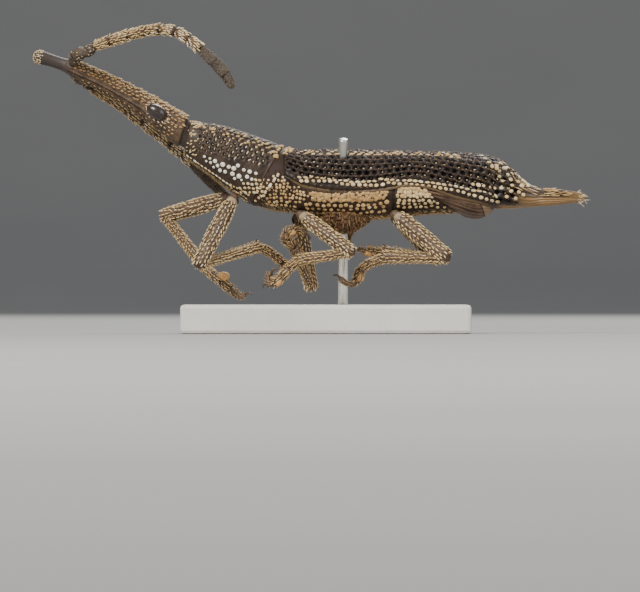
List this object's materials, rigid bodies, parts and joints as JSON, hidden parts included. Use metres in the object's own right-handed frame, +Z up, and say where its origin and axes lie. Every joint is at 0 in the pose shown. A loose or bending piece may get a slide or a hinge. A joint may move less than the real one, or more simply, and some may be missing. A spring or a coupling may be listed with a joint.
{
  "type": "straight-snouted weevil specimen",
  "caption": "Pinned straight-snouted weevil with a long thin snout, bent antennae, ribbed wing cases and two tail spurs, on a small plain base.",
  "frame": {"origin": "centre of the whole model's box, at the underside of the base", "axes": "+Z up along the back, -X towards the tip of the snout, -Y towards the beetle's left side"},
  "size_m": [0.0191, 0.007, 0.0107],
  "materials": {
    "brown_cuticle": "dark brown pitted cuticle under rows of small cream and orange scales",
    "dark_wing_case": "brown-black cuticle in ribs and rows of deep pits, with rows of round cream scales",
    "smooth_ventrite": "smooth chestnut cuticle with a soft shine",
    "pale_scaled_antenna": "brown cuticle under long overlapping cream scales",
    "velvety_club": "fine grey-brown velvet",
    "scaled_leg": "brown cuticle with long cream scales and short bristles",
    "glossy_eye": "glossy dark eye with fine facets",
    "pin_steel": "dull pale steel with fine marks",
    "pale_base": "plain pale matt board"
  },
  "bodies": {
    "root": {"abdomen": "brown_cuticle", "head": "brown_cuticle", "last_ventrite": "smooth_ventrite", "left_antenna": "pale_scaled_antenna", "left_antenna_club": "velvety_club", "left_antenna_scape": "brown_cuticle", "left_elytron": "dark_wing_case", "left_eye": "glossy_eye", "left_fore_coxa": "scaled_leg", "left_fore_femur": "scaled_leg", "left_fore_foot": "scaled_leg", "left_fore_tibia": "scaled_leg", "left_hind_coxa": "scaled_leg", "left_hind_femur": "scaled_leg", "left_hind_foot": "scaled_leg", "left_hind_tibia": "scaled_leg", "left_mid_coxa": "scaled_leg", "left_mid_femur": "scaled_leg", "left_mid_foot": "scaled_leg", "left_mid_tibia": "scaled_leg", "pin": "pin_steel", "prothorax": "brown_cuticle", "right_antenna": "pale_scaled_antenna", "right_antenna_club": "velvety_club", "right_antenna_scape": "brown_cuticle", "right_elytron": "dark_wing_case", "right_eye": "glossy_eye", "right_fore_coxa": "scaled_leg", "right_fore_femur": "scaled_leg", "right_fore_foot": "scaled_leg", "right_fore_tibia": "scaled_leg", "right_hind_coxa": "scaled_leg", "right_hind_femur": "scaled_leg", "right_hind_foot": "scaled_leg", "right_hind_tibia": "scaled_leg", "right_mid_coxa": "scaled_leg", "right_mid_femur": "scaled_leg", "right_mid_foot": "scaled_leg", "right_mid_tibia": "scaled_leg", "snout": "brown_cuticle", "stand_base": "pale_base", "thorax": "brown_cuticle"}
  },
  "joints": []
}
